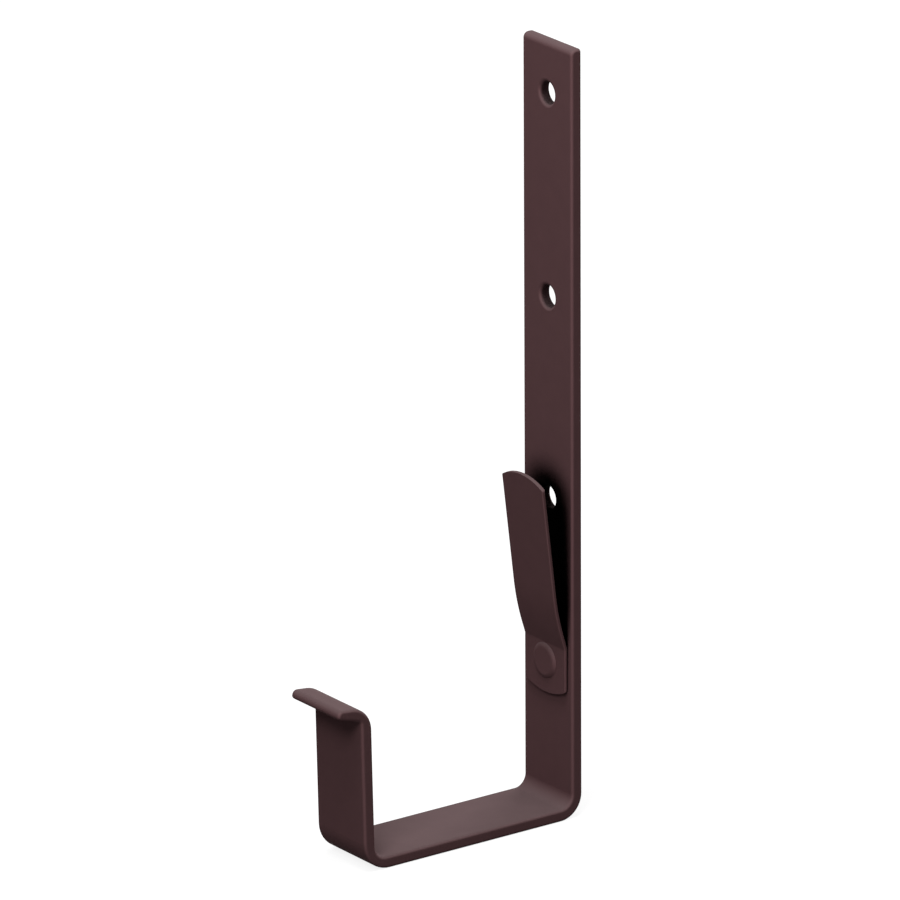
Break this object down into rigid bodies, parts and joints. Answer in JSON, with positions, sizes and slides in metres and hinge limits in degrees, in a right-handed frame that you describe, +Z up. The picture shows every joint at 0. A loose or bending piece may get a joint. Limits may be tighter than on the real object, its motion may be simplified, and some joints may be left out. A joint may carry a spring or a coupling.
{
  "type": "gutter bracket",
  "caption": "Hook bracket for a box gutter: a flat bar bent to a J with a hooked front lip, screw holes in its long leg and a riveted, bendable retaining strip.",
  "frame": {"origin": "on the ground, at the middle of the bounding box, under the seat of the hook", "axes": "+Z up along the long leg; -Y away from the wall towards the lip; +X across the bar"},
  "size_m": [0.025, 0.0924, 0.2486],
  "materials": {
    "coated_bar": "satin",
    "coated_strip": "satin",
    "coated_rivet": "satin"
  },
  "bodies": {
    "root": {"bracket_bar": "coated_bar", "retaining_strip": "coated_strip", "strip_rivet": "coated_rivet"}
  },
  "joints": []
}
